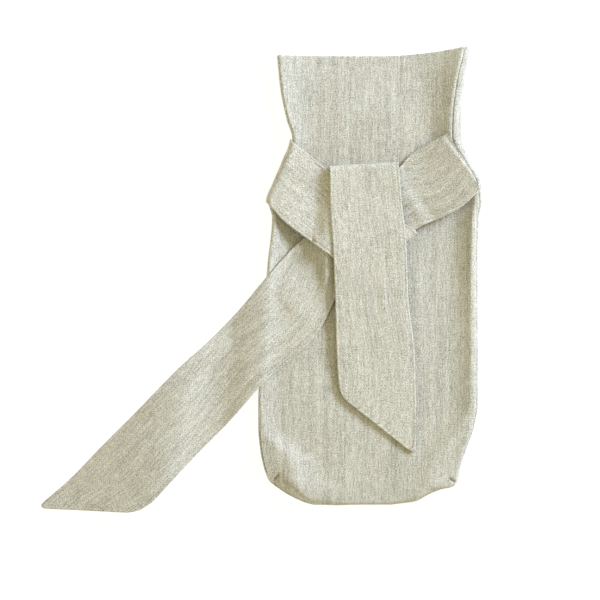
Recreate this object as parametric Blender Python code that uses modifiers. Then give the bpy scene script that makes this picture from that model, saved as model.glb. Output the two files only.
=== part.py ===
"""A wine-bottle bag of plain linen, lying on its back with its two ties knotted once on the front.

The bag is a front and a back panel, sewn along the sides and the bottom and open at the mouth.
Tables are in millimetres and degrees. A place on the bag is (side, level): side runs to the right
from the bag's centre line, and level runs from the bottom edge towards the mouth. The origin is
the middle of all that the bag and its ties cover, at the height of the surface below them.
"""

import math
from collections import namedtuple

import bmesh
import bpy
import numpy as np

MM = 0.001

# Driving dimensions.
PANEL_CLOTH = 1.2
TIE_CLOTH = 1.6
SEAM_GAP = 0.85
BAG_LENGTH = 356.0
BAG_CENTRE = 84.9
BAG_BOTTOM = -178.0
LINEN = (0.53, 0.51, 0.43)

# The mouth's line climbs towards its right end.
MOUTH_CLIMB = 6.9
CLIMB_FROM_SIDE = 5.0
CLIMB_WIDTH = 70.0
CLIMB_FROM_LEVEL = 250.0

# The bag's outermost places, and how high its front lies in the middle.
OutlineRow = namedtuple("OutlineRow", "level left right middle")
OUTLINE = (
    OutlineRow(0, -47.0, 40.0, 3.8),
    OutlineRow(3, -54.5, 42.5, 5.6),
    OutlineRow(8, -65.0, 50.0, 7.4),
    OutlineRow(14, -73.4, 68.0, 7.8),
    OutlineRow(19, -79.3, 72.0, 7.6),
    OutlineRow(30, -83.2, 73.6, 7.4),
    OutlineRow(44, -86.0, 78.4, 7.4),
    OutlineRow(62, -87.5, 84.6, 7.4),
    OutlineRow(80, -87.5, 87.4, 7.4),
    OutlineRow(130, -83.6, 87.5, 7.4),
    OutlineRow(190, -80.2, 87.3, 7.4),
    OutlineRow(228, -76.5, 88.4, 7.4),
    OutlineRow(241, -81.6, 90.6, 7.4),
    OutlineRow(255, -76.2, 90.0, 7.4),
    OutlineRow(272, -69.0, 81.6, 7.4),
    OutlineRow(291, -61.2, 74.0, 7.4),
    OutlineRow(318, -67.9, 75.4, 7.4),
    OutlineRow(BAG_LENGTH, -72.5, 80.8, 7.4),
)

# How a side of the bag rounds over. round: how wide the rounding is. edge: how high the front is
# where the rounding starts. crest_in and crest: where the cloth is highest, and how high. slope:
# how wide it takes from there to the middle. seam: the angle round the side, 0 on top and 180
# underneath, at which front and back are sewn together.
SideRow = namedtuple("SideRow", "level round edge crest_in crest slope seam")
LEFT_SIDE = (
    SideRow(0, 1.8, 4.2, 5.0, 4.2, 10, 90),
    SideRow(8, 2.2, 4.2, 13.0, 7.4, 12, 90),
    SideRow(19, 2.6, 5.4, 14.0, 9.2, 14, 105),
    SideRow(44, 3.6, 8.6, 7.0, 10.0, 15, 130),
    SideRow(80, 4.2, 9.6, 5.5, 10.0, 16, 135),
    SideRow(228, 4.2, 9.6, 5.5, 10.2, 14, 135),
    SideRow(291, 4.2, 10.2, 6.0, 11.0, 11, 135),
    SideRow(BAG_LENGTH, 4.2, 10.2, 6.5, 11.0, 12, 135),
)
RIGHT_SIDE = (
    SideRow(0, 1.8, 4.2, 5.0, 4.2, 10, 90),
    SideRow(8, 2.2, 4.2, 8.0, 7.2, 14, 90),
    SideRow(19, 3.0, 6.6, 7.5, 9.6, 18, 75),
    SideRow(44, 4.8, 10.2, 6.6, 11.2, 22, 25),
    SideRow(80, 6.4, 11.8, 7.4, 12.0, 24, 15),
    SideRow(228, 6.4, 12.0, 7.4, 12.2, 22, 15),
    SideRow(265, 4.4, 12.6, 5.6, 12.8, 17, 15),
    SideRow(291, 8.4, 13.4, 9.4, 13.6, 15, 10),
    SideRow(325, 8.0, 13.4, 9.4, 13.6, 15, 10),
    SideRow(BAG_LENGTH, 4.0, 13.0, 8.0, 13.4, 16, 15),
)
# How finely the panels are laid out: shares of the way from a seam round a side, and cells across.
CELLS_PER_LEVEL = 2
ROUND_STEPS = np.array((0.0, 0.06, 0.4, 0.7, 1.0))
SHORT_ROUND_STEPS = np.array((0.5, 0.94, 1.0))
FRONT_RUN_CELLS = 13
BACK_RUN_CELLS = 4

# Lines across a tie, this far along it from its seam: where its left and right edges lie, left and
# right as the tie runs, and how high they are held. Where they are held lower than what is under
# them, the tie lies on that instead. FREE is a tie that nothing holds up.
TieRow = namedtuple(
    "TieRow", "along left_side left_level right_side right_level left_height right_height"
)
FREE = -20.0
OVER = 13.2
THROUGH = 10.9
ON_TOP = 15.7
LEFT_TIE_OVER = (
    TieRow(0, -61.0, 290.1, -82.9, 239.9, 12.6, 12.2),
    TieRow(29, -34.3, 267.8, -65.4, 223.6, OVER, OVER),
    TieRow(65, -6.4, 245.5, -36.7, 202.4, OVER, OVER),
    TieRow(84, 12.0, 232.6, -27.9, 195.6, OVER, OVER),
    TieRow(104, 34.3, 218.0, -19.9, 178.5, OVER, OVER),
)
LEFT_TIE_BEHIND = (
    TieRow(111, 34.3, 218.0, -19.9, 178.5, FREE, FREE),
    TieRow(146, 28.7, 242.3, -28.7, 222.4, FREE, FREE),
    TieRow(180, 24.3, 268.1, -30.7, 264.4, FREE, FREE),
)
LEFT_TIE_FALLING = (
    TieRow(191, 24.3, 268.1, -30.7, 264.4, ON_TOP, ON_TOP),
    TieRow(216, 26.3, 242.3, -30.3, 240.7, ON_TOP, ON_TOP),
    TieRow(248, 29.9, 210.4, -28.3, 208.0, 15.4, ON_TOP),
    TieRow(278, 31.2, 179.6, -26.9, 178.7, 12.6, ON_TOP),
    TieRow(295, 31.9, 162.6, -26.3, 162.6, 10.8, 14.4),
    TieRow(330, 36.3, 126.7, -25.5, 129.1, FREE, 10.9),
    TieRow(363, 37.9, 86.9, -24.1, 102.8, FREE, 9.6),
    TieRow(394, 37.7, 40.6, -22.3, 86.1, 9.0, 9.4),
)
RIGHT_TIE_ROWS = (
    TieRow(0, 88.5, 249.9, 63.4, 294.9, 14.4, 14.8),
    TieRow(19, 73.3, 235.9, 47.8, 286.9, 13.0, 13.2),
    TieRow(36, 57.4, 227.5, 33.5, 277.8, 11.6, 11.8),
    TieRow(50, 43.8, 222.0, 23.9, 267.4, THROUGH, THROUGH),
    TieRow(66, 31.0, 219.0, 9.6, 256.4, THROUGH, THROUGH),
    TieRow(95, 7.0, 201.4, -14.3, 239.9, THROUGH, THROUGH),
    TieRow(124, -18.6, 182.8, -39.9, 220.8, THROUGH, THROUGH),
    TieRow(150, -27.9, 159.4, -57.4, 206.4, 10.0, 10.6),
    TieRow(180, -39.9, 137.1, -82.1, 179.3, 8.0, 10.0),
    TieRow(211, -60.6, 115.6, -102.0, 155.4, FREE, FREE),
    TieRow(244, -84.5, 95.2, -125.9, 130.7, FREE, FREE),
    TieRow(280, -110.0, 66.2, -151.4, 107.6, FREE, FREE),
    TieRow(325, -140.3, 35.5, -183.3, 74.9, FREE, FREE),
    TieRow(368, -170.6, 2.8, -213.6, 44.6, FREE, FREE),
    TieRow(388, -175.3, -1.6, -235.9, 21.5, FREE, FREE),
    TieRow(407, -179.3, -7.0, -260.4, -3.6, FREE, FREE),
)
TIE_CELL_LENGTH = 8.0
TIE_CELLS_ACROSS = 8
FOLD_CELLS = 6
UP = np.array((0.0, 0.0, 1.0))
# How softly a tie goes over from being held to lying, and how wide it takes to come down from the
# bag's side to the surface.
SETTLING = 1.2
REST_GAP = 0.8
FALL_WIDTH = 42.0


def between(rows, at):
    """The table's columns where its first one is at, eased so that none overshoots."""
    table = np.array(rows, float)
    key = table[:, 0]
    gaps = np.diff(key)[:, None]
    rates = np.diff(table, axis=0) / gaps
    same_way = rates[1:] * rates[:-1] > 0
    total = np.where(same_way, rates[1:] + rates[:-1], 1.0)
    inner = np.where(same_way, 2 * rates[1:] * rates[:-1] / total, 0.0)
    slopes = np.vstack([rates[:1], inner, rates[-1:]])
    at = np.asarray(at, float)
    first = np.clip(np.searchsorted(key, at, "right") - 1, 0, len(rows) - 2)
    gap = gaps[first]
    t = np.clip((at[..., None] - key[first][..., None]) / gap, 0.0, 1.0)
    value = (
        table[first] * (1 + 2 * t) * (1 - t) ** 2
        + slopes[first] * gap * t * (1 - t) ** 2
        + table[first + 1] * t * t * (3 - 2 * t)
        - slopes[first + 1] * gap * t * t * (1 - t)
    )
    return type(rows[0])(*np.moveaxis(value, -1, 0))


def ease(value):
    """0 up to 0, 1 from 1, and level at both."""
    value = np.clip(value, 0.0, 1.0)
    return value * value * (3 - 2 * value)


def side_rise(row, inward, middle):
    """How far a side lifts the front above its middle, this far in from the bag's edge."""
    share = ease((inward - row.round) / (row.crest_in - row.round))
    outside = row.edge + (row.crest - row.edge) * share - middle
    inside = (row.crest - middle) * ease(1 - (inward - row.crest_in) / row.slope)
    return np.where(inward < row.crest_in, outside, inside)


def front_height(level, side):
    """How high the front lies, between the roundings of its sides."""
    outline = between(OUTLINE, level)
    left = side_rise(between(LEFT_SIDE, level), side - outline.left, outline.middle)
    right = side_rise(between(RIGHT_SIDE, level), outline.right - side, outline.middle)
    return outline.middle + left + right


def rounding(row, angle):
    """(inward from the bag's edge, height) at these angles round a side, 0 on top."""
    turn = np.radians(angle)
    return row.round * (1 - np.sin(turn)), row.edge / 2 * (1 + np.cos(turn))


def half_gap(row):
    """Half of the seam's gap, as an angle round the side."""
    turn = np.radians(row.seam)
    width_per_turn = np.hypot(row.round * np.cos(turn), row.edge / 2 * np.sin(turn))
    return np.degrees(SEAM_GAP / 2 / width_per_turn)


def front_section(level):
    """Sides and heights of the front's outer line at one level, from the left to the right seam."""
    outline, left, right = (between(rows, level) for rows in (OUTLINE, LEFT_SIDE, RIGHT_SIDE))
    left_in, left_up = rounding(left, (left.seam - half_gap(left)) * (1 - ROUND_STEPS[:-1]))
    right_in, right_up = rounding(right, (right.seam - half_gap(right)) * SHORT_ROUND_STEPS)
    share = 0.5 - 0.5 * np.cos(np.linspace(0, math.pi, FRONT_RUN_CELLS + 1))
    run_from, run_to = outline.left + left.round, outline.right - right.round
    run = run_from + (run_to - run_from) * share
    sides = np.concatenate([outline.left + left_in, run, outline.right - right_in])
    return sides, np.concatenate([left_up, front_height(np.full(run.shape, level), run), right_up])


def back_section(level):
    """Sides and heights of the back's outer line at one level, from the right to the left seam."""
    outline, left, right = (between(rows, level) for rows in (OUTLINE, LEFT_SIDE, RIGHT_SIDE))
    left_from, right_from = left.seam + half_gap(left), right.seam + half_gap(right)
    left_in, left_up = rounding(left, left_from + (180 - left_from) * ROUND_STEPS[::-1])
    right_in, right_up = rounding(right, right_from + (180 - right_from) * ROUND_STEPS)
    run = np.linspace(outline.right - right.round, outline.left + left.round, BACK_RUN_CELLS + 1)
    sides = np.concatenate([outline.right - right_in, run[1:-1], outline.left + left_in])
    return sides, np.concatenate([right_up, np.zeros(len(run) - 2), left_up])


def mouth_climb(side, level):
    """How far the cloth climbs above its level near the mouth's right end."""
    across = np.clip((side - CLIMB_FROM_SIDE) / CLIMB_WIDTH, 0.0, 1.0)
    up = ease((level - CLIMB_FROM_LEVEL) / (BAG_LENGTH - CLIMB_FROM_LEVEL))
    return MOUTH_CLIMB * across ** 2 * up


def panel_places(section):
    """Rows of places for one panel, from the bottom edge to the mouth."""
    heights = [row.level for row in OUTLINE]
    levels = [
        low + (high - low) * cell / CELLS_PER_LEVEL
        for low, high in zip(heights, heights[1:])
        for cell in range(CELLS_PER_LEVEL)
    ]
    rows = []
    for level in levels + heights[-1:]:
        sides, ups = section(level)
        y = BAG_BOTTOM + level + mouth_climb(sides, level)
        rows.append(np.stack([BAG_CENTRE + sides, y, ups], axis=-1))
    return np.array(rows)


def bed_height(side, level):
    """How high a tie's underside lies where nothing holds it up: on the bag, or beside it."""
    crest_in = between(LEFT_SIDE, level).crest_in
    crest = between(LEFT_SIDE, level).crest + REST_GAP
    outward = between(OUTLINE, level).left + crest_in - side
    beside = crest * ease(1 - outward / FALL_WIDTH)
    return np.where(outward > 0, beside, front_height(level, side) + REST_GAP)


def tie_pass(rows):
    """Rows of places on a tie's middle surface, along one pass that has no fold."""
    length = rows[-1].along - rows[0].along
    stations = np.linspace(rows[0].along, rows[-1].along, round(length / TIE_CELL_LENGTH) + 1)
    row = between(rows, stations[:, None])
    share = np.linspace(0, 1, TIE_CELLS_ACROSS + 1)
    side = row.right_side + (row.left_side - row.right_side) * share
    level = row.right_level + (row.left_level - row.right_level) * share
    held = row.right_height + (row.left_height - row.right_height) * share
    lying = bed_height(side, level) + TIE_CLOTH / 2
    height = (held + lying + np.hypot(held - lying, SETTLING)) / 2
    return np.stack([BAG_CENTRE + side, BAG_BOTTOM + level, height], axis=-1)


def fold(before, after):
    """The rows of a fold, from the end of one pass to the start of the next."""
    line = before[-1]
    edge = line[-1] - line[0]
    outward = np.array((edge[1], -edge[0], 0.0)) / math.hypot(edge[0], edge[1])
    outward *= np.sign(np.dot(line.mean(axis=0) - before[0].mean(axis=0), outward))
    rise = after[0][:, 2:] - line[:, 2:]
    rows = []
    for turn in np.linspace(0, math.pi, FOLD_CELLS + 1)[1:-1]:
        up = UP * rise * (1 - math.cos(turn)) / 2
        rows.append(line + outward * np.abs(rise) / 2 * math.sin(turn) + up)
    return np.array(rows)


def left_tie_places():
    """The left tie: over the other one, behind it and up, then over and down the front."""
    over, behind, falling = map(tie_pass, (LEFT_TIE_OVER, LEFT_TIE_BEHIND, LEFT_TIE_FALLING))
    return np.concatenate([over, fold(over, behind), behind, fold(behind, falling), falling])


def sheet(name, places, thickness, offset, collection, material):
    """A grid laid on rows of places, made as thick as the cloth."""
    shell = bmesh.new()
    rows, columns = places.shape[:2]
    bmesh.ops.create_grid(shell, x_segments=columns - 1, y_segments=rows - 1, size=0.5)
    for vertex, place in zip(shell.verts, places.reshape(-1, 3)):
        vertex.co = place * MM
    mesh = bpy.data.meshes.new(name)
    shell.to_mesh(mesh)
    shell.free()
    mesh.shade_smooth()
    mesh.materials.append(material)
    piece = bpy.data.objects.new(name, mesh)
    collection.objects.link(piece)
    cloth = piece.modifiers.new("cloth", "SOLIDIFY")
    cloth.thickness = thickness * MM
    cloth.offset = offset
    return piece


def linen(name, tint):
    """Undyed linen, a little lighter or darker from piece to piece."""
    material = bpy.data.materials.new(name)
    material.use_nodes = True
    shader = material.node_tree.nodes["Principled BSDF"]
    shader.inputs["Base Color"].default_value = (*(value * tint for value in LINEN), 1)
    shader.inputs["Roughness"].default_value = 0.9
    shader.inputs["Metallic"].default_value = 0.0
    return material


def main():
    for old in list(bpy.data.objects):
        bpy.data.objects.remove(old)
    bag = bpy.data.collections.new("wine_bag")
    bpy.context.scene.collection.children.link(bag)
    front, back = panel_places(front_section), panel_places(back_section)
    sheet("front_panel", front, PANEL_CLOTH, -1, bag, linen("front_linen", 1.0))
    sheet("back_panel", back, PANEL_CLOTH, -1, bag, linen("back_linen", 0.97))
    sheet("left_tie", left_tie_places(), TIE_CLOTH, 0, bag, linen("left_tie_linen", 1.04))
    sheet("right_tie", tie_pass(RIGHT_TIE_ROWS), TIE_CLOTH, 0, bag, linen("right_tie_linen", 1.02))


main()
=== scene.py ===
"""The looks of a linen wine bag that lies on its back, with its two ties knotted over the front.

Every piece is a sheet of cloth: a grid, laid on the bag's own folds by functions and short tables.
Tables are in millimetres and degrees. A place on the bag is (side, level): side runs to the right
from the bag's centre line, and level runs from the bottom edge towards the mouth. A sheet's UV map
is its flat pattern in metres, so that the weave follows the cloth.
"""

import math
from collections import namedtuple

import bmesh
import bpy
import numpy as np
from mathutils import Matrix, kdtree


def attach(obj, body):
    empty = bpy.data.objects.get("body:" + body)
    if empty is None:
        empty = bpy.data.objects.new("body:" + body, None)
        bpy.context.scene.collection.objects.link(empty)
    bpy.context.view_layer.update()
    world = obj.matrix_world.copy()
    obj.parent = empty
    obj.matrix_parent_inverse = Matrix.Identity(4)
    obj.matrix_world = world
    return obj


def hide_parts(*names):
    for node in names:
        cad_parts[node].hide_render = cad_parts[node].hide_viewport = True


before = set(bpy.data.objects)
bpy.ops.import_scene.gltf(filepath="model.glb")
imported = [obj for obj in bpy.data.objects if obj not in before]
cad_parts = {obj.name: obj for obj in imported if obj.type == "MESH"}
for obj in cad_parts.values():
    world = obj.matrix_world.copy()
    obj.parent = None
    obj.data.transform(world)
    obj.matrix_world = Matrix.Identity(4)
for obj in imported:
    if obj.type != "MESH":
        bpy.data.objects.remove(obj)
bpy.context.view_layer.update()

MM = 0.001
UP = np.array((0.0, 0.0, 1.0))
# The least length that is divided by, and, in metres, how near two corners are merged.
LEAST_LENGTH = 1e-9
MERGE_DISTANCE = 1e-6

# The bag's length, where its centre line and its bottom edge lie, how thick its cloth and a tie are,
# and how wide a seam's gap is.
BAG_LENGTH = 356.0
BAG_CENTRE = 84.9
BAG_BOTTOM = -178.0
PANEL_CLOTH = 0.9
TIE_CLOTH = 1.5
SEAM_GAP = 0.9

# How far the mouth's line climbs at its right end, and where the climb begins.
MOUTH_CLIMB = 6.9
CLIMB_FROM_SIDE = 5.0
CLIMB_WIDTH = 70.0
CLIMB_FROM_LEVEL = 250.0

# How a panel's edges roll in: how round the roll is, and how deep the cloth goes in behind it, which
# is deeper at the sides, except near the mouth. At the bottom both edges reach for the height of
# their seam. At the mouth the cloth is folded right over, and this many rows of its cells lie behind.
ROLL_RADIUS = 0.6
LEAST_DEPTH = 0.1
SEAM_DEPTH = 0.1
SEAM_FADE = 40.0
BOTTOM_SEAM = 2.05
HEM_ROWS = 14

# The bag's outermost places, and how high its front lies in the middle.
OutlineRow = namedtuple("OutlineRow", "level left right middle")
OUTLINE = (
    OutlineRow(0, -46.0, 22.0, 6.2),
    OutlineRow(0.8, -49.0, 29.0, 6.9),
    OutlineRow(1.6, -51.5, 35.0, 7.2),
    OutlineRow(2.6, -53.8, 39.5, 7.3),
    OutlineRow(5.0, -59.0, 44.0, 7.4),
    OutlineRow(9.0, -66.4, 51.2, 7.5),
    OutlineRow(12.0, -70.6, 59.5, 7.6),
    OutlineRow(14.0, -73.4, 68.6, 7.6),
    OutlineRow(19.0, -79.0, 71.6, 7.5),
    OutlineRow(30, -83.2, 73.6, 7.4),
    OutlineRow(44, -86.0, 78.4, 7.4),
    OutlineRow(62, -87.5, 84.6, 7.4),
    OutlineRow(80, -87.5, 87.4, 7.4),
    OutlineRow(130, -83.6, 87.5, 7.4),
    OutlineRow(160, -82.2, 87.4, 6.8),
    OutlineRow(190, -80.2, 87.3, 5.6),
    OutlineRow(228, -76.5, 88.4, 5.4),
    OutlineRow(241, -79.4, 90.6, 5.4),
    OutlineRow(255, -74.2, 90.0, 5.8),
    OutlineRow(272, -67.0, 81.6, 7.0),
    OutlineRow(291, -60.4, 74.0, 8.0),
    OutlineRow(306, -64.8, 74.2, 8.0),
    OutlineRow(330, -69.8, 76.6, 6.2),
    OutlineRow(BAG_LENGTH, -72.5, 80.8, 4.6),
)

# How a side of the bag rounds over. round: how wide the rounding is. edge: how high the front is
# where the rounding starts. crest_in and crest: where the cloth is highest, and how high. slope:
# how wide it takes from there to the middle. seam: the angle round the side, 0 on top and 180
# underneath, at which front and back are sewn together.
SideRow = namedtuple("SideRow", "level round edge crest_in crest slope seam")
LEFT_SIDE = (
    SideRow(0, 1.6, 4.0, 7.0, 5.2, 14, 90),
    SideRow(4, 1.6, 4.2, 10.0, 10.0, 30, 90),
    SideRow(9, 1.4, 4.4, 13.0, 12.6, 38, 90),
    SideRow(14, 1.2, 5.0, 18.0, 13.8, 35, 100),
    SideRow(19, 1.2, 7.6, 22.0, 13.4, 30, 100),
    SideRow(26, 1.2, 9.6, 23.0, 12.4, 26, 100),
    SideRow(33, 1.2, 10.2, 22.0, 12.1, 24, 100),
    SideRow(44, 1.2, 10.6, 16.0, 11.6, 21, 100),
    SideRow(58, 1.2, 10.8, 4.6, 11.1, 18, 100),
    SideRow(90, 1.2, 10.8, 2.2, 11.0, 16, 100),
    SideRow(228, 1.4, 10.2, 2.4, 10.4, 16, 100),
    SideRow(265, 2.4, 11.2, 3.2, 11.4, 16, 100),
    SideRow(291, 1.6, 12.2, 2.6, 12.4, 15, 100),
    SideRow(306, 1.2, 13.8, 2.2, 14.0, 18, 100),
    SideRow(330, 1.2, 14.2, 2.2, 14.4, 36, 100),
    SideRow(BAG_LENGTH, 1.2, 14.4, 2.4, 14.6, 58, 100),
)
RIGHT_SIDE = (
    SideRow(0, 1.8, 4.2, 5.0, 4.6, 10, 90),
    SideRow(8, 2.0, 5.0, 7.0, 8.6, 12, 90),
    SideRow(14, 2.4, 5.8, 20.0, 9.0, 12, 85),
    SideRow(19, 2.8, 6.8, 22.0, 9.4, 12, 75),
    SideRow(33, 3.2, 8.2, 21.5, 9.6, 13, 68),
    SideRow(44, 4.2, 9.4, 18.0, 10.2, 15, 64),
    SideRow(59, 4.8, 10.6, 12.5, 10.8, 20, 60),
    SideRow(80, 5.2, 12.0, 5.5, 12.1, 19, 58),
    SideRow(228, 5.0, 12.8, 5.3, 12.9, 18, 50),
    SideRow(265, 5.0, 12.7, 5.3, 12.8, 20, 14),
    SideRow(291, 8.6, 14.6, 8.9, 14.7, 19, 9),
    SideRow(306, 8.4, 15.1, 8.7, 15.2, 23, 9),
    SideRow(330, 7.6, 15.3, 7.9, 15.4, 30, 10),
    SideRow(BAG_LENGTH, 5.2, 14.6, 5.6, 14.7, 42, 14),
)
# How much a side's ridge is rounded, as a share of how far in it lies, and the least angle by which
# the front goes round a side.
CREST_SOFTNESS = 0.2
LEAST_ROUND = 1.0

# Lines across a tie, this far along it from its seam: where its left and right edges lie, left and
# right as the tie runs, and how high they are held. Where they are held lower than what is under
# them, the tie lies on that instead.
TieRow = namedtuple(
    "TieRow", "along left_side left_level right_side right_level left_height right_height"
)
# The usual heights: not held up at all, through the knot, over it, and on top of it.
FREE = -20.0
THROUGH = 10.9
OVER = 13.2
ON_TOP = 15.7
LEFT_TIE_OVER = (
    TieRow(-4, -68.3, 290.5, -87.3, 239.9, 12.6, 12.2),
    TieRow(0, -65.6, 290.1, -84.6, 239.9, 12.6, 12.2),
    TieRow(29, -34.3, 267.8, -65.4, 223.6, OVER, 14.6),
    TieRow(65, -6.4, 245.5, -36.7, 202.4, OVER, 17.4),
    TieRow(84, 13.0, 232.8, -27.9, 195.6, OVER, 15.4),
    TieRow(104, 37.0, 218.4, -19.9, 178.5, OVER, OVER),
)
LEFT_TIE_BEHIND = (
    TieRow(111, 37.0, 218.4, -19.9, 178.5, FREE, FREE),
    TieRow(146, 28.7, 242.3, -28.7, 222.4, FREE, FREE),
    TieRow(180, 24.3, 268.1, -30.7, 264.4, FREE, FREE),
)
LEFT_TIE_FALLING = (
    TieRow(191, 24.3, 268.1, -30.7, 264.4, ON_TOP, ON_TOP),
    TieRow(216, 26.3, 242.3, -30.3, 240.7, ON_TOP, ON_TOP),
    TieRow(248, 29.9, 210.4, -28.3, 208.0, 15.2, ON_TOP),
    TieRow(278, 31.2, 179.6, -26.9, 178.7, 13.3, 15.6),
    TieRow(295, 31.9, 162.6, -26.3, 162.6, 11.9, 14.6),
    TieRow(330, 36.3, 126.7, -25.5, 129.1, 10.0, 12.4),
    TieRow(363, 37.9, 86.9, -24.1, 102.8, 9.2, 10.8),
    TieRow(394, 37.9, 38.6, -22.3, 86.1, 9.2, 10.0),
)
RIGHT_TIE_ROWS = (
    TieRow(0, 88.5, 249.9, 63.4, 294.9, 17.8, 17.4),
    TieRow(19, 73.3, 235.9, 47.8, 286.9, 14.8, 13.0),
    TieRow(36, 57.4, 227.5, 33.5, 277.8, 12.0, 9.8),
    TieRow(50, 43.8, 222.0, 23.9, 267.4, 10.7, 9.0),
    TieRow(66, 30.0, 213.5, 9.6, 256.4, THROUGH, 9.0),
    TieRow(95, 7.0, 201.4, -14.3, 239.9, THROUGH, THROUGH),
    TieRow(124, -18.6, 182.8, -39.9, 220.8, 10.2, 6.0),
    TieRow(150, -27.9, 159.4, -57.4, 206.4, 8.6, 5.6),
    TieRow(180, -39.9, 137.1, -82.1, 179.3, 8.4, 9.8),
    TieRow(211, -60.6, 115.6, -102.0, 155.4, FREE, 8.4),
    TieRow(244, -84.5, 95.2, -125.9, 130.7, 8.0, 5.2),
    TieRow(280, -110.0, 66.2, -151.4, 107.6, 5.4, 4.0),
    TieRow(325, -140.3, 35.5, -183.3, 74.9, 3.4, 2.8),
    TieRow(368, -170.6, 2.8, -213.6, 44.6, 1.8, 1.4),
    TieRow(388, -175.3, -1.6, -235.9, 21.5, 0.9, 0.9),
    TieRow(407, -179.3, -7.0, -264.6, -3.4, 0.8, 0.8),
)
# How round a tie's cut end is, at its right and its left corner.
LEFT_TIE_CORNERS = (5.5, 5.0)
RIGHT_TIE_CORNERS = (6.0, 10.0)

# How a tie lies on what is under it: how softly it comes to rest there, its gap over the bag, and
# how wide it takes to come down beside the bag. Only its ridges show there: a trough is evened out,
# as sharply as this.
SETTLING = 1.2
REST_GAP = 0.6
FALL_WIDTH = 54.0
TROUGH_SOFTNESS = 0.2
# Over another tie: its gap, how softly it goes over, and how steeply it drapes past that one's edge.
LAYER_GAP = 0.25
LAYER_SOFTNESS = 0.7
DRAPE = 0.9

# Soft ridges, or troughs where height is negative, along a line from one place to another. The
# widths are to the left and to the right of that line, and pinched is 0 for a round one, 1 for a
# sharp one.
Crease = namedtuple(
    "Crease", "from_side from_level to_side to_level height left_width right_width pinched"
)
# How fast a sharp one falls off beside its line, how many times its width each takes to fade past
# its ends, and how far in from the bag's edge the front's own are whole.
PINCH_FALL = 1.6
END_FADE = 2.0
CREASE_INSET = 6.0
# The front: the hollow under the left tie, then faint folds down its length.
FRONT_CREASES = (
    Crease(-56.0, 226.0, -40.0, 184.0, -2.8, 12.0, 13.0, 0.0),
    Crease(-30.0, 60.0, -18.0, 5.0, 0.5, 14.0, 14.0, 0.0),
    Crease(20.0, 70.0, 30.0, 10.0, 0.4, 12.0, 12.0, 0.0),
    Crease(50.0, 190.0, 56.0, 80.0, -0.5, 12.0, 12.0, 0.0),
    Crease(-52.0, 120.0, -58.0, 60.0, 0.5, 12.0, 12.0, 0.0),
    Crease(-20.0, 350.0, -26.0, 290.0, 0.5, 14.0, 16.0, 0.0),
    Crease(20.0, 350.0, 30.0, 300.0, -0.4, 14.0, 14.0, 0.0),
)
# The short tucks of its boxed bottom corners.
FRONT_SLITS = (
    Crease(-74.2, 20.2, -71.6, 23.2, -2.4, 0.8, 0.8, 0.0),
    Crease(65.6, 19.8, 67.8, 18.4, -2.0, 0.8, 0.8, 0.0),
)
# Where the left tie runs over the other one, it sags beside the knot, and climbs onto it.
LEFT_OVER_CREASES = (
    Crease(-39.0, 272.0, -42.0, 222.0, -4.4, 7.0, 22.0, 0.0),
)
# Where it falls down the front, it has a short crease and a faint ridge.
LEFT_FALLING_CREASES = (
    Crease(10.5, 190.0, 13.5, 156.0, 0.9, 1.8, 5.0, 0.5),
    Crease(-8.0, 230.0, -6.0, 150.0, 0.3, 8.0, 8.0, 0.0),
)
# The right tie is puckered beside the knot, stands up where it comes out of it, has one long wave
# in its loose end, and dips in the hollow under the left tie.
RIGHT_TIE_CREASES = (
    Crease(41.0, 246.0, 29.0, 239.0, 0.6, 1.6, 1.6, 0.3),
    Crease(34.0, 240.0, 43.0, 226.0, 0.9, 4.5, 4.0, 0.2),
    Crease(43.0, 241.0, 51.0, 230.0, -0.6, 4.0, 4.0, 0.0),
    Crease(-33.0, 204.0, -33.5, 182.0, 6.8, 6.0, 8.0, 0.4),
    Crease(-149.0, 114.0, -166.0, 24.0, 10.0, 22.0, 56.0, 0.0),
    Crease(-56.0, 226.0, -40.0, 186.0, -3.2, 8.0, 12.0, 0.0),
)

# The small waves that any cloth keeps: how long they are, how high for their length, how far they
# bend, and over how many times their length.
WAVE_LENGTHS = (22.0, 31.0, 43.0, 60.0)
WAVINESS = 0.0028
WAVE_BEND = 1.2
BEND_LENGTH = 2.3

# How the left tie curls round the bag's side to its seam: its gap there, how wide it takes to settle
# to that, and the length that curls by one radian. Then how the right one dips to its own.
CURL_GAP = 1.25
CURL_SETTLING = 8.0
CURL_RADIUS = 6.0
SEAM_DIP = 1.2
SEAM_DIP_LENGTH = 2.0

# A tie's edges: this far in from one, this much of its thickness. Each edge is round, and the cloth
# beside it is pressed thinner.
EDGE_DISTANCES = (0.0, 0.12, 0.35, 0.7, 1.1, 1.6, 2.2, 3.0, 4.2)
EDGE_HALVES = (0.0, 0.42, 0.75, 0.95, 1.0, 0.82, 0.72, 0.85, 1.0)
EDGE_STEPS = np.array(EDGE_DISTANCES)

# How finely the panels are laid out: cells round a side and across a panel, how much closer those
# across lie near the sides, and the levels of the rows, closest at the bottom and at the mouth.
ROUND_CELLS = 9
FRONT_RUN_CELLS = 130
BACK_RUN_CELLS = 80
CROWDING = 0.11
LEVELS = np.concatenate(
    [
        np.linspace(0.0, 44.0, 56)[:-1],
        np.linspace(44.0, 346.0, 169)[:-1],
        np.linspace(346.0, BAG_LENGTH, 12),
    ]
)
# The steps of an edge's roll, a quarter of the way round.
TURNS = np.radians((22.5, 45.0, 67.5, 90.0))
# The size of a tie's cells, the width that sets how many lie across it, and the cells of a fold.
TIE_STEP = 1.7
TIE_WIDTH = 58.0
FOLD_CELLS = 10

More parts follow.
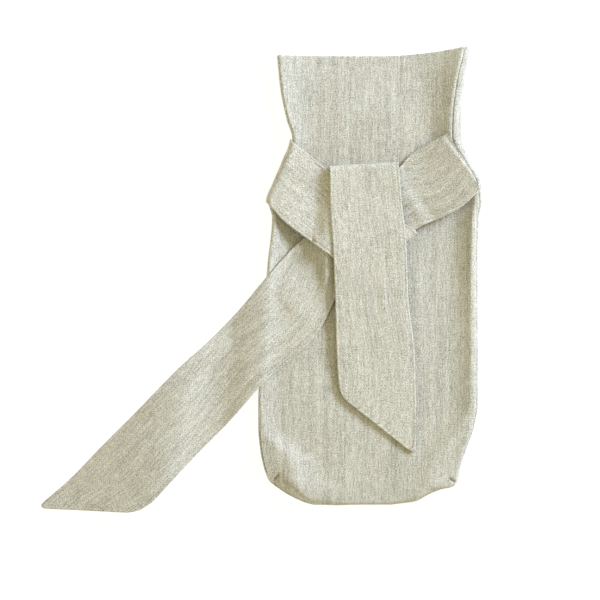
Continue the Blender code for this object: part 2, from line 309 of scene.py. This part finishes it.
# The linen's flecks: how wide each kind is across the threads and how long, how many steps of finer
# detail it has, a shift that sets its pattern apart, and how much it sways the cloth's tone and its
# relief.
Fleck = namedtuple("Fleck", "width length detail shift tone relief", defaults=(0.0, 0.0))
SLUB = Fleck(1.5, 26.0, 3.0, 13, tone=0.4, relief=0.9)
THREAD = Fleck(1.2, 6.0, 2.0, 19, tone=0.5, relief=0.6)
CROSS_THREAD = Fleck(9.0, 1.2, 2.0, 29, tone=0.25, relief=0.6)
STREAK = Fleck(6.0, 120.0, 1.0, 17, tone=0.25)
GRAIN = Fleck(0.95, 0.95, 2.0, 23, tone=1.2)
PATCH = Fleck(32.0, 40.0, 2.0, 31, tone=0.15)
FLECKS = (SLUB, THREAD, CROSS_THREAD, STREAK, GRAIN, PATCH)
# The same kind of pattern sets how the threads wander, how strong the weave is, and the hue.
WARP_PATH = Fleck(6.0, 30.0, 2.0, 0)
WEFT_PATH = Fleck(30.0, 6.0, 2.0, 7)
PLAINNESS = Fleck(9.0, 9.0, 1.0, 37)
HUE = Fleck(3.0, 16.0, 2.0, 41)
# How much each finer step of a pattern keeps of the last one's strength.
DETAIL_STRENGTH = 0.55

# The weave: how far apart its threads lie, how far they wander, as an angle of their waves, how much
# it sways the tone and the relief, and the plainness below which its light and dark change places.
# Then how high the cloth's whole relief stands.
WARP_PITCH = 1.15
WEFT_PITCH = 1.05
WANDER = 3.0
WEAVE_TONE = 0.3
WEAVE_RELIEF = 0.2
WEAVE_TURNS = 0.3
RELIEF_HEIGHT = 0.08

# The linen's colours, and its finish.
MIDDLE_TONE = 0.5
DARK_LINEN = (0.17, 0.158, 0.113)
LIGHT_LINEN = (0.89, 0.858, 0.755)
WARM_TINT = (1.05, 0.985, 0.965, 1)
COOL_TINT = (0.955, 1.012, 1.02, 1)
LINEN_FINISH = {
    "Roughness": 0.92,
    "Specular IOR Level": 0.25,
    "Sheen Weight": 0.08,
    "Sheen Roughness": 0.5,
}

# The floor, the light and the camera.
FLOOR_SIZE = 6.0
FLOOR_FINISH = {
    "Base Color": (0.5, 0.5, 0.5, 1),
    "Roughness": 0.95,
    "Specular IOR Level": 0.0,
    "Emission Color": (0.73, 0.74, 0.77, 1),
    "Emission Strength": 1.0,
}
KEY_SIZE = 1.0
KEY_POWER = 95.0
KEY_COLOUR = (0.64, 0.75, 1.0)
KEY_AZIMUTH = 32.0
KEY_ELEVATION = 27.5
KEY_DISTANCE = 2.6
ROOM_COLOUR = (1.0, 0.938, 0.651, 1)
ROOM_STRENGTH = 0.68
CAMERA_PLACE = (0.0307, -0.0154, 2.5)
CAMERA_LENS = 188.0
CAMERA_SENSOR = 36.0


# ---------------------------------------------------------------- the bag's form


def between(rows, at):
    """The table's columns where its first one is at, eased so that none overshoots."""
    table = np.array(rows, float)
    key = table[:, 0]
    gaps = np.diff(key)[:, None]
    rates = np.diff(table, axis=0) / gaps
    same_way = rates[1:] * rates[:-1] > 0
    total = np.where(same_way, rates[1:] + rates[:-1], 1.0)
    inner = np.where(same_way, 2 * rates[1:] * rates[:-1] / total, 0.0)
    slopes = np.vstack([rates[:1], inner, rates[-1:]])
    at = np.asarray(at, float)
    first = np.clip(np.searchsorted(key, at, "right") - 1, 0, len(rows) - 2)
    gap = gaps[first]
    t = np.clip((at[..., None] - key[first][..., None]) / gap, 0.0, 1.0)
    value = (
        table[first] * (1 + 2 * t) * (1 - t) ** 2
        + slopes[first] * gap * t * (1 - t) ** 2
        + table[first + 1] * t * t * (3 - 2 * t)
        - slopes[first + 1] * gap * t * t * (1 - t)
    )
    return type(rows[0])(*np.moveaxis(value, -1, 0))


def ease(value):
    """0 up to 0, 1 from 1, and level at both."""
    value = np.clip(value, 0.0, 1.0)
    return value * value * (3 - 2 * value)


def relief(creases, side, level):
    """How far these creases lift the cloth at each place."""
    total = np.zeros(np.broadcast(side, level).shape)
    for crease in creases:
        run = np.array((crease.to_side - crease.from_side, crease.to_level - crease.from_level))
        length = math.hypot(*run)
        ahead = run / length
        x, y = side - crease.from_side, level - crease.from_level
        along = x * ahead[0] + y * ahead[1]
        across = y * ahead[0] - x * ahead[1]
        width = np.where(across > 0, crease.left_width, crease.right_width)
        beyond = np.maximum(np.maximum(-along, along - length), 0.0)
        off = np.hypot(across / width, beyond / (END_FADE * width))
        round_one, sharp_one = np.exp(-off * off), np.exp(-PINCH_FALL * off)
        shape = (1 - crease.pinched) * round_one + crease.pinched * sharp_one
        total = total + crease.height * shape
    return total


def side_rise(row, inward, middle):
    """How far a side lifts the front above its middle, this far in from the bag's edge."""
    share = ease((inward - row.round) / (row.crest_in - row.round))
    outside = row.edge + (row.crest - row.edge) * share - middle
    softness = CREST_SOFTNESS * row.crest_in
    past = (np.hypot(inward - row.crest_in, softness) - softness) / row.slope
    inside = (row.crest - middle) * np.clip(1 - past, 0.0, 1.0) ** 2
    return np.where(inward < row.crest_in, outside, inside)


def front_height(level, side):
    """How high the front lies, between the roundings of its sides."""
    outline = between(OUTLINE, level)
    left = side_rise(between(LEFT_SIDE, level), side - outline.left, outline.middle)
    right = side_rise(between(RIGHT_SIDE, level), outline.right - side, outline.middle)
    return outline.middle + left + right


def rounding(row, angle):
    """(inward from the bag's edge, height) at these angles round a side, 0 on top."""
    turn = np.radians(angle)
    return row.round * (1 - np.sin(turn)), row.edge / 2 * (1 + np.cos(turn))


def seam_room(row):
    """How far each panel stops short of the seam's line, as an angle round the side."""
    turn = np.radians(row.seam)
    width_per_turn = np.hypot(row.round * np.cos(turn), row.edge / 2 * np.sin(turn))
    return np.degrees((SEAM_GAP / 2 + ROLL_RADIUS + PANEL_CLOTH / 2) / width_per_turn)


def crowded(cells):
    """Shares from 0 to 1 that lie closer together near both ends."""
    share = np.linspace(0.0, 1.0, cells + 1)
    return share - CROWDING * np.sin(2 * math.pi * share)


def front_sections(level):
    """Sides and heights of the front's outer face, from the left to the right seam."""
    outline, left, right = (between(rows, level) for rows in (OUTLINE, LEFT_SIDE, RIGHT_SIDE))
    steps = np.linspace(1.0, 0.0, ROUND_CELLS + 1)[:-1]
    left_round = left.seam - seam_room(left)
    right_round = np.maximum(right.seam - seam_room(right), LEAST_ROUND)
    left_in, left_up = rounding(left, left_round * steps)
    right_in, right_up = rounding(right, right_round * steps[::-1])
    run_from, run_to = outline.left + left.round, outline.right - right.round
    run = run_from + (run_to - run_from) * crowded(FRONT_RUN_CELLS)
    height = front_height(np.broadcast_to(level, run.shape), run)
    sides = np.concatenate([outline.left + left_in, run, outline.right - right_in], axis=1)
    heights = np.concatenate([left_up, height, right_up], axis=1)
    inward = np.minimum(sides - outline.left, outline.right - sides)
    creased = relief(FRONT_CREASES, sides, level) * ease(inward / CREASE_INSET)
    return sides, heights + (creased + relief(FRONT_SLITS, sides, level))


def back_sections(level):
    """Sides and heights of the back's outer face, from the right to the left seam."""
    outline, left, right = (between(rows, level) for rows in (OUTLINE, LEFT_SIDE, RIGHT_SIDE))
    steps = np.linspace(0.0, 1.0, 2 * ROUND_CELLS + 1)
    left_from, right_from = left.seam + seam_room(left), right.seam + seam_room(right)
    left_in, left_up = rounding(left, left_from + (180 - left_from) * steps[::-1])
    right_in, right_up = rounding(right, right_from + (180 - right_from) * steps)
    run_from, run_to = outline.right - right.round, outline.left + left.round
    run = run_from + (run_to - run_from) * crowded(BACK_RUN_CELLS)[1:-1]
    sides = np.concatenate([outline.right - right_in, run, outline.left + left_in], axis=1)
    heights = np.concatenate([right_up, np.zeros(run.shape), left_up], axis=1)
    return sides, heights


def mouth_climb(side, level):
    """How far the cloth climbs above its level near the mouth's right end."""
    across = np.clip((side - CLIMB_FROM_SIDE) / CLIMB_WIDTH, 0.0, 1.0)
    up = ease((level - CLIMB_FROM_LEVEL) / (BAG_LENGTH - CLIMB_FROM_LEVEL))
    return MOUTH_CLIMB * across ** 2 * up


# ---------------------------------------------------------------- cloth as grids of places


def unit(vectors):
    """These vectors with a length of 1."""
    return vectors / np.maximum(np.linalg.norm(vectors, axis=-1, keepdims=True), LEAST_LENGTH)


def facing(places):
    """The way that each place of a grid faces."""
    return unit(np.cross(np.gradient(places, axis=1), np.gradient(places, axis=0)))


def unevenness(side, level, seed):
    """The soft small waves that cloth keeps after it was folded and handled."""
    random = np.random.default_rng(seed)
    total = np.zeros(np.broadcast(side, level).shape)
    for length in WAVE_LENGTHS:
        turn, phase, bend = random.uniform(0, 2 * math.pi, 3)
        ahead = side * math.cos(turn) + level * math.sin(turn)
        across = level * math.cos(turn) - side * math.sin(turn)
        bent = WAVE_BEND * np.sin(across * 2 * math.pi / (BEND_LENGTH * length) + bend)
        total = total + WAVINESS * length * np.sin(ahead * 2 * math.pi / length + phase + bent)
    return total


def rolled(places, normals, turns):
    """The last row of a grid, carried on round a roll towards the cloth's back."""
    ahead = unit(places[-1] - places[-2])
    moves = [ahead * math.sin(turn) - normals[-1] * (1 - math.cos(turn)) for turn in turns]
    return places[-1] + ROLL_RADIUS * np.array(moves)


def turned_in(places, normals, depth):
    """A grid whose last row is turned in towards the cloth's back for this depth."""
    roll = rolled(places, normals, TURNS)
    return np.concatenate([places, roll, roll[-1:] - normals[-1:] * depth])


def hemmed(places, normals):
    """A grid whose last row is folded right over and back down behind the cloth."""
    roll = rolled(places, normals, np.concatenate([TURNS, TURNS[:-1] + math.pi / 2]))
    behind = (places - 2 * ROLL_RADIUS * normals)[::-1][:HEM_ROWS]
    return np.concatenate([places, roll, behind])


def bottom_turned(places, up):
    """A panel whose last row, its bottom edge, is turned in towards the other panel's.

    up: 1 for the panel that faces up, -1 for the one that faces down."""
    normals = np.broadcast_to(up * UP, places.shape)
    end = rolled(places, normals, TURNS)[-1, :, 2:]
    depth = np.maximum(up * (end - BOTTOM_SEAM) - SEAM_GAP / 2, LEAST_DEPTH)
    return turned_in(places, normals, depth)


def flat_pattern(places):
    """A grid's places on the flat cloth: the lengths across it and along it, from its middle."""
    across = np.linalg.norm(np.diff(places, axis=1), axis=-1)
    along = np.linalg.norm(np.diff(places, axis=0), axis=-1)
    u = np.concatenate([np.zeros((len(places), 1)), np.cumsum(across, axis=1)], axis=1)
    u -= np.array([np.interp(BAG_CENTRE, x, y) for x, y in centre_lines(places, u)])[:, None]
    v = np.concatenate([[0.0], np.cumsum(np.median(along, axis=1))])
    return np.stack([u, np.broadcast_to(v[:, None], u.shape)], axis=-1)


def centre_lines(places, u):
    """Each row's sides, rising, with their lengths across the cloth."""
    middle = slice(places.shape[1] // 4, -(places.shape[1] // 4))
    order = slice(None, None, 1 if places[0, -1, 0] > places[0, 0, 0] else -1)
    return [(x[middle][order], y[middle][order]) for x, y in zip(places[..., 0], u)]


def panel_places(sections):
    """A panel's middle face, with its seam edges and its bottom turned in and its mouth hemmed."""
    level = LEVELS[:, None]
    sides, heights = sections(level)
    y = BAG_BOTTOM + level + mouth_climb(sides, level)
    outer = np.stack([BAG_CENTRE + sides, y, heights], axis=-1)
    middle = outer - facing(outer) * PANEL_CLOTH / 2
    normals = facing(middle)
    depth = (SEAM_DEPTH * ease((BAG_LENGTH - LEVELS) / SEAM_FADE) + LEAST_DEPTH)[:, None]
    # One side's edge, and then the other's, because each turn leaves the sides the other way round.
    for _ in range(2):
        turned = turned_in(middle.transpose(1, 0, 2), normals.transpose(1, 0, 2), depth)
        middle = turned.transpose(1, 0, 2)[:, ::-1]
        normals = -facing(middle)
    middle = bottom_turned(middle[::-1], np.sign(facing(middle)[..., 2].mean()))[::-1]
    places = hemmed(middle, facing(middle))
    places[..., 2] = np.maximum(places[..., 2], PANEL_CLOTH / 2)
    return places


# ---------------------------------------------------------------- the ties

# A stretch of a tie: the places of its middle face, half of its thickness at each, and where each
# lies on the flat cloth.
Stretch = namedtuple("Stretch", "places halves flat")


def soft_max(one, other, softness):
    """The higher of two heights, rounded by this much where they meet."""
    return (one + other + np.hypot(one - other, softness)) / 2


def bed_height(side, level):
    """How high a tie's underside lies where nothing holds it up: on the bag, or beside it."""
    crest_in = between(LEFT_SIDE, level).crest_in
    crest = between(LEFT_SIDE, level).crest + REST_GAP
    outward = between(OUTLINE, level).left + crest_in - side
    beside = crest * ease(1 - outward / FALL_WIDTH)
    return np.where(outward > 0, beside, front_height(level, side) + REST_GAP)


def laid_over(stretch, side, level):
    """How high the middle face of a tie must be to lie over this stretch of one."""
    under = kdtree.KDTree(stretch.halves.size)
    for index, place in enumerate(stretch.places.reshape(-1, 3)):
        under.insert((place[0], place[1], 0.0), index)
    under.balance()
    heights = stretch.places[..., 2].ravel()
    found = [under.find((x, y, 0.0))[1:] for x, y in zip(side.ravel(), level.ravel())]
    nearest, away = np.array(found).T
    top = heights[nearest.astype(int)] + TIE_CLOTH + LAYER_GAP
    return (top - DRAPE * np.maximum(away - TIE_STEP, 0)).reshape(side.shape)


def corner_rounded(plan, near_side, near_end, along_side, along_end, radius):
    """A tie's places with one of its end's corners rounded."""
    x, y = radius - near_side, radius - near_end
    inside = (x > 0) & (y > 0)
    away = np.maximum(np.hypot(x, y), LEAST_LENGTH)
    pull = np.where(inside, 1 - np.maximum(x, y) / away, 0.0)
    slant = np.abs(along_side[0] * along_end[1] - along_side[1] * along_end[0])
    moves = (x * pull)[..., None] * along_end + (y * pull)[..., None] * along_side
    return plan + moves / slant


def tie_stretch(rows, creases, seed, beds=(), from_seam=False, corners=None):
    """One stretch of a tie between its folds, over the stretches that are its beds.

    corners: how round the right and the left corner of its cut end are, if it has one."""
    # The lines across the tie, with both of its edges at each.
    start, stop = rows[0].along, rows[-1].along
    first = start + EDGE_STEPS if from_seam else np.array([start])
    last = stop - EDGE_STEPS[::-1] if corners else np.array([stop])
    steps = round((last[0] - first[-1]) / TIE_STEP)
    station = np.concatenate([first[:-1], np.linspace(first[-1], last[0], steps + 1), last[1:]])
    row = between(rows, station[:, None])
    left = np.stack([row.left_side, row.left_level], axis=-1)
    right = np.stack([row.right_side, row.right_level], axis=-1)
    centre = (left + right) / 2
    ahead = unit(np.gradient(centre[:, 0], station, axis=0))[:, None]
    leftward = np.stack([-ahead[..., 1], ahead[..., 0]], axis=-1)
    leftward *= np.sign(((left - right) * leftward).sum(axis=-1, keepdims=True))
    width = ((left - right) * leftward).sum(axis=-1)
    # The places along each line, and how near each is to an edge or an end.
    edges = 2 * EDGE_STEPS[-1]
    inner = np.linspace(0.0, 1.0, round((TIE_WIDTH - edges) / TIE_STEP) + 1)[1:-1]
    inner = EDGE_STEPS[-1] + (width - edges) * inner
    edge = np.broadcast_to(EDGE_STEPS, (len(width), len(EDGE_STEPS)))
    from_right = np.concatenate([edge, inner, width - edge[:, ::-1]], axis=1)
    share = (from_right / width)[..., None]
    plan = right + (left - right) * share
    near_end = np.full(from_right.shape, np.inf)
    if from_seam:
        near_end = np.minimum(near_end, (station - start)[:, None])
    if corners:
        end = unit(left[-1, 0] - right[-1, 0])
        offset = plan - right[-1, 0]
        near_end = np.abs(offset[..., 0] * end[1] - offset[..., 1] * end[0])
        back = -ahead[-1, 0]
        plan = corner_rounded(plan, from_right, near_end, back, end, corners[0])
        plan = corner_rounded(plan, width - from_right, near_end, back, -end, corners[1])
    # How high it is held, and how high it lies on what is under it.
    side, level = plan[..., 0], plan[..., 1]
    share = share[..., 0]
    lift = relief(creases, side, level) + unevenness(side, level, seed)
    held = row.right_height + (row.left_height - row.right_height) * share + lift
    lying = bed_height(side, level) + TIE_CLOTH / 2 + soft_max(lift, 0.0, TROUGH_SOFTNESS)
    for bed in beds:
        lying = soft_max(lying, laid_over(bed, side, level), LAYER_SOFTNESS)
    height = soft_max(held, lying, SETTLING)
    near = np.minimum(np.minimum(from_right, width - from_right), near_end)
    halves = np.interp(near, EDGE_DISTANCES, EDGE_HALVES) * TIE_CLOTH / 2
    offset = plan - centre
    along = station[:, None] + (offset * ahead).sum(axis=-1)
    flat = np.stack([(offset * leftward).sum(axis=-1), along], axis=-1)
    return Stretch(np.stack([side, level, height], axis=-1), halves, flat)


def fold(before, after):
    """A tie's fold, from the end of one stretch to the start of the next."""
    line, rise = before.places[-1], after.places[0][:, 2:] - before.places[-1][:, 2:]
    edge = line[-1] - line[0]
    outward = np.array((edge[1], -edge[0], 0.0)) / math.hypot(edge[0], edge[1])
    outward *= np.sign(np.dot(line.mean(axis=0) - before.places[0].mean(axis=0), outward))
    turns = np.linspace(0, math.pi, FOLD_CELLS + 1)[1:-1, None, None]
    bulge = outward * np.abs(rise) / 2 * np.sin(turns)
    places = line + bulge + UP * rise * (1 - np.cos(turns)) / 2
    share = turns / math.pi
    flat = before.flat[-1] * (1 - share) + after.flat[0] * share
    return Stretch(places, np.repeat(before.halves[-1:], len(turns), axis=0), flat)


def joined(*stretches):
    """Stretches of one tie, made one."""
    return Stretch(*(np.concatenate(parts) for parts in zip(*stretches)))


def curled(stretch):
    """The left tie's start, taken down round the bag's left side to its seam."""
    side, level, height = np.moveaxis(stretch.places, -1, 0)
    row = between(LEFT_SIDE, level)
    top = between(OUTLINE, level).left + row.round
    past = np.maximum(top - side, 0.0)
    gap = CURL_GAP + (height - row.edge - CURL_GAP) * ease(1 - past / CURL_SETTLING)
    wide, tall = row.round + gap, row.edge / 2 + gap
    turn = past / CURL_RADIUS
    round_side = top - wide * np.sin(turn)
    round_height = row.edge / 2 + tall * np.cos(turn)
    side = np.where(past > 0, round_side, side)
    height = np.where(past > 0, round_height, height)
    return stretch._replace(places=np.stack([side, level, height], axis=-1))


def both_ties():
    """The two ties of the knot.

    The left one runs over the right one, behind it and up, then over and down the front. The right
    one dips to its seam, runs through the knot and lies beside the bag."""
    behind = tie_stretch(LEFT_TIE_BEHIND, (), seed=4)
    right = tie_stretch(
        RIGHT_TIE_ROWS,
        RIGHT_TIE_CREASES,
        seed=6,
        beds=(behind,),
        from_seam=True,
        corners=RIGHT_TIE_CORNERS,
    )
    over = tie_stretch(
        LEFT_TIE_OVER, LEFT_OVER_CREASES, seed=3, beds=(behind, right), from_seam=True
    )
    over = curled(over)
    falling = tie_stretch(
        LEFT_TIE_FALLING,
        LEFT_FALLING_CREASES,
        seed=5,
        beds=(right, over),
        corners=LEFT_TIE_CORNERS,
    )
    dip = SEAM_DIP * ease(1 - right.flat[..., 1] / SEAM_DIP_LENGTH)
    right = right._replace(places=right.places - UP * dip[..., None])
    left = joined(over, fold(over, behind), behind, fold(behind, falling), falling)
    return left, right


# ---------------------------------------------------------------- meshes


def grid_mesh(name, places, flat):
    """A grid of cloth, with its flat pattern in metres as its UV map."""
    shell = bmesh.new()
    rows, columns = places.shape[:2]
    bmesh.ops.create_grid(shell, x_segments=columns - 1, y_segments=rows - 1, size=0.5)
    mesh = bpy.data.meshes.new(name)
    shell.to_mesh(mesh)
    shell.free()
    mesh.vertices.foreach_set("co", (places * MM).ravel())
    corners = np.empty(len(mesh.loops), np.int32)
    mesh.loops.foreach_get("vertex_index", corners)
    pattern = mesh.uv_layers.new(name="flat_pattern")
    pattern.data.foreach_set("uv", (flat.reshape(-1, 2)[corners] * MM).ravel())
    return mesh


def add_piece(name, mesh, material):
    """A smooth piece of this material, in the scene."""
    mesh.shade_smooth()
    mesh.materials.append(material)
    piece = bpy.data.objects.new(name, mesh)
    bpy.context.scene.collection.objects.link(piece)
    return piece


def panel(name, sections, material):
    """One of the bag's two panels, as thick as its cloth."""
    places = panel_places(sections)
    piece = add_piece(name, grid_mesh(name, places, flat_pattern(places)), material)
    cloth = piece.modifiers.new("cloth", "SOLIDIFY")
    cloth.thickness = PANEL_CLOTH * MM
    cloth.offset = 0.0
    return piece


def tie(name, stretch, material):
    """A tie: a tube of cloth, turned right side out and pressed flat, with its ends closed."""
    places = stretch.places + np.array((BAG_CENTRE, BAG_BOTTOM, 0.0))
    out = facing(places) * stretch.halves[..., None]
    ring = np.concatenate([places + out, (places - out)[:, -2::-1]], axis=1)
    folded_edge = stretch.flat[:, -1:] * (2.0, 0.0)
    under = folded_edge + stretch.flat * (-1.0, 1.0)
    flat = np.concatenate([stretch.flat, under[:, -2::-1]], axis=1)
    mesh = grid_mesh(name, ring, flat)
    shell = bmesh.new()
    shell.from_mesh(mesh)
    bmesh.ops.remove_doubles(shell, verts=shell.verts, dist=MERGE_DISTANCE)
    bmesh.ops.recalc_face_normals(shell, faces=shell.faces)
    shell.to_mesh(mesh)
    shell.free()
    return add_piece(name, mesh, material)


# ---------------------------------------------------------------- linen


class Wire:
    """A socket of a material's nodes. Arithmetic on it adds the Math nodes that it needs."""

    def __init__(self, tree, socket):
        self.tree = tree
        self.socket = socket

    def node(self, kind, settings, sockets, output=0):
        """A new node of this kind: its settings first, then its sockets' values or wires."""
        made = self.tree.nodes.new(kind)
        for name, value in settings.items():
            setattr(made, name, value)
        for name, value in sockets.items():
            if isinstance(value, Wire):
                self.tree.links.new(value.socket, made.inputs[name])
            else:
                made.inputs[name].default_value = value
        return Wire(self.tree, made.outputs[output])

    def math(self, operation, *values):
        return self.node("ShaderNodeMath", {"operation": operation}, dict(enumerate(values)))

    def __add__(self, other):
        return self.math("ADD", self, other)

    def __sub__(self, other):
        return self.math("SUBTRACT", self, other)

    def __rsub__(self, other):
        return self.math("SUBTRACT", other, self)

    def __mul__(self, other):
        return self.math("MULTIPLY", self, other)

    __radd__ = __add__
    __rmul__ = __mul__

    def sine(self):
        return self.math("SINE", self)

    def mixed(self, share, low, high, blend="MIX"):
        """The colour at this share of the way from one to another, or of their blend."""
        settings = {"data_type": "RGBA", "blend_type": blend, "clamp_factor": True}
        return self.node("ShaderNodeMix", settings, {0: share, 6: low, 7: high}, output=2)


def noise(u, v, fleck, shift):
    """Noise on the flat cloth, 0 to 1, in this kind of flecks."""
    shift = shift + fleck.shift
    place = u.node(
        "ShaderNodeCombineXYZ",
        {},
        {0: u * (1 / (fleck.width * MM)) + shift, 1: v * (1 / (fleck.length * MM))},
    )
    settings = {"noise_dimensions": "2D", "normalize": True}
    sockets = {"Vector": place, "Scale": 1.0, "Detail": fleck.detail, "Roughness": DETAIL_STRENGTH}
    return u.node("ShaderNodeTexNoise", settings, sockets)


def finished(name, finish):
    """A new material and its shader, with these values on it."""
    material = bpy.data.materials.new(name)
    material.use_nodes = True
    shader = material.node_tree.nodes["Principled BSDF"]
    for socket, value in finish.items():
        shader.inputs[socket].default_value = value
    return material, shader


def linen(name, tone_and_painted_light, shift):
    """Undyed linen in a plain weave, with slubs along its length.

    tone_and_painted_light: how light this piece's is; on the ties this is partly painted light, the
    left tie made lighter as though it caught more of the key light. shift: what sets its patterns
    apart from the other pieces'."""
    material, shader = finished(name, LINEN_FINISH)
    tree = material.node_tree
    begin = Wire(tree, None)
    pattern = begin.node("ShaderNodeUVMap", {"uv_map": "flat_pattern"}, {})
    u = begin.node("ShaderNodeSeparateXYZ", {}, {0: pattern}, output=0)
    v = begin.node("ShaderNodeSeparateXYZ", {}, {0: pattern}, output=1)

    warp_path = (noise(u, v, WARP_PATH, shift) - 0.5) * WANDER
    weft_path = (noise(u, v, WEFT_PATH, shift) - 0.5) * WANDER
    warp = (u * (math.pi / (WARP_PITCH * MM)) + warp_path).sine()
    weft = (v * (math.pi / (WEFT_PITCH * MM)) + weft_path).sine()
    weave = warp * weft
    tone = MIDDLE_TONE
    height = weave * WEAVE_RELIEF
    for fleck in FLECKS:
        sway = noise(u, v, fleck, shift) - 0.5
        tone = tone + sway * fleck.tone
        if fleck.relief:
            height = height + sway * fleck.relief
    tone = tone + weave * (noise(u, v, PLAINNESS, shift) - WEAVE_TURNS) * WEAVE_TONE

    # The linen's lightness for this piece; on the ties it is partly painted light.
    dark = tuple(value * tone_and_painted_light for value in DARK_LINEN)
    light = tuple(value * tone_and_painted_light for value in LIGHT_LINEN)
    colour = begin.mixed(tone, (*dark, 1), (*light, 1))
    hue = begin.mixed(noise(u, v, HUE, shift), WARM_TINT, COOL_TINT)
    colour = begin.mixed(1.0, colour, hue, blend="MULTIPLY")
    bump = begin.node(
        "ShaderNodeBump", {}, {"Strength": 1.0, "Distance": RELIEF_HEIGHT * MM, "Height": height}
    )
    tree.links.new(colour.socket, shader.inputs["Base Color"])
    tree.links.new(bump.socket, shader.inputs["Normal"])
    return material


# ---------------------------------------------------------------- the scene


def aim(lamp, place):
    """Places a lamp and points it at the middle of the floor."""
    x, y, height = place
    lamp.location = place
    tilt = math.atan2(math.hypot(x, y), height)
    lamp.rotation_euler = (tilt, 0, math.atan2(-y, -x) - math.pi / 2)


def studio():
    """A pale floor, a soft light from the upper right, and the room's own warm light."""
    scene = bpy.context.scene
    plane = bmesh.new()
    bmesh.ops.create_grid(plane, x_segments=1, y_segments=1, size=FLOOR_SIZE)
    mesh = bpy.data.meshes.new("floor")
    plane.to_mesh(mesh)
    plane.free()
    mesh.materials.append(finished("floor_paper", FLOOR_FINISH)[0])
    floor = bpy.data.objects.new("floor", mesh)
    scene.collection.objects.link(floor)

    key = bpy.data.lights.new("key", "AREA")
    key.shape = "DISK"
    key.size = KEY_SIZE
    key.energy = KEY_POWER
    key.color = KEY_COLOUR
    lamp = bpy.data.objects.new("key", key)
    turn, climb = math.radians(KEY_AZIMUTH), math.radians(KEY_ELEVATION)
    offset = (math.cos(turn) * math.cos(climb), math.sin(turn) * math.cos(climb), math.sin(climb))
    aim(lamp, np.array(offset) * KEY_DISTANCE)
    lamp.visible_camera = False
    scene.collection.objects.link(lamp)

    world = bpy.data.worlds.new("room")
    world.use_nodes = True
    sky = world.node_tree.nodes["Background"]
    sky.inputs["Color"].default_value = ROOM_COLOUR
    sky.inputs["Strength"].default_value = ROOM_STRENGTH
    scene.world = world
    scene.view_settings.view_transform = "Standard"

    lens = bpy.data.cameras.new("camera")
    lens.lens = CAMERA_LENS
    lens.sensor_width = CAMERA_SENSOR
    camera = bpy.data.objects.new("camera", lens)
    camera.location = CAMERA_PLACE
    scene.collection.objects.link(camera)
    scene.camera = camera


def main():
    front = panel("front", front_sections, linen("front_linen", tone_and_painted_light=0.99, shift=0.0))
    back = panel("back", back_sections, linen("back_linen", tone_and_painted_light=0.95, shift=100.0))
    left_stretch, right_stretch = both_ties()
    # The ties' tones are partly painted light: the left tie is lighter than the right one. This
    # stands in for the shine of threads that lie across the key light, and for its tail tilting
    # towards that light.
    left = tie("tie_left", left_stretch, linen("left_tie_linen", tone_and_painted_light=1.055, shift=200.0))
    right = tie("tie_right", right_stretch, linen("right_tie_linen", tone_and_painted_light=1.015, shift=300.0))
    for piece, node, slot in (
        (front, "front_panel", "front_linen"),
        (back, "back_panel", "back_linen"),
        (left, "left_tie", "left_tie_linen"),
        (right, "right_tie", "right_tie_linen"),
    ):
        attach(piece, "root")
        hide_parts(node)
    studio()


main()
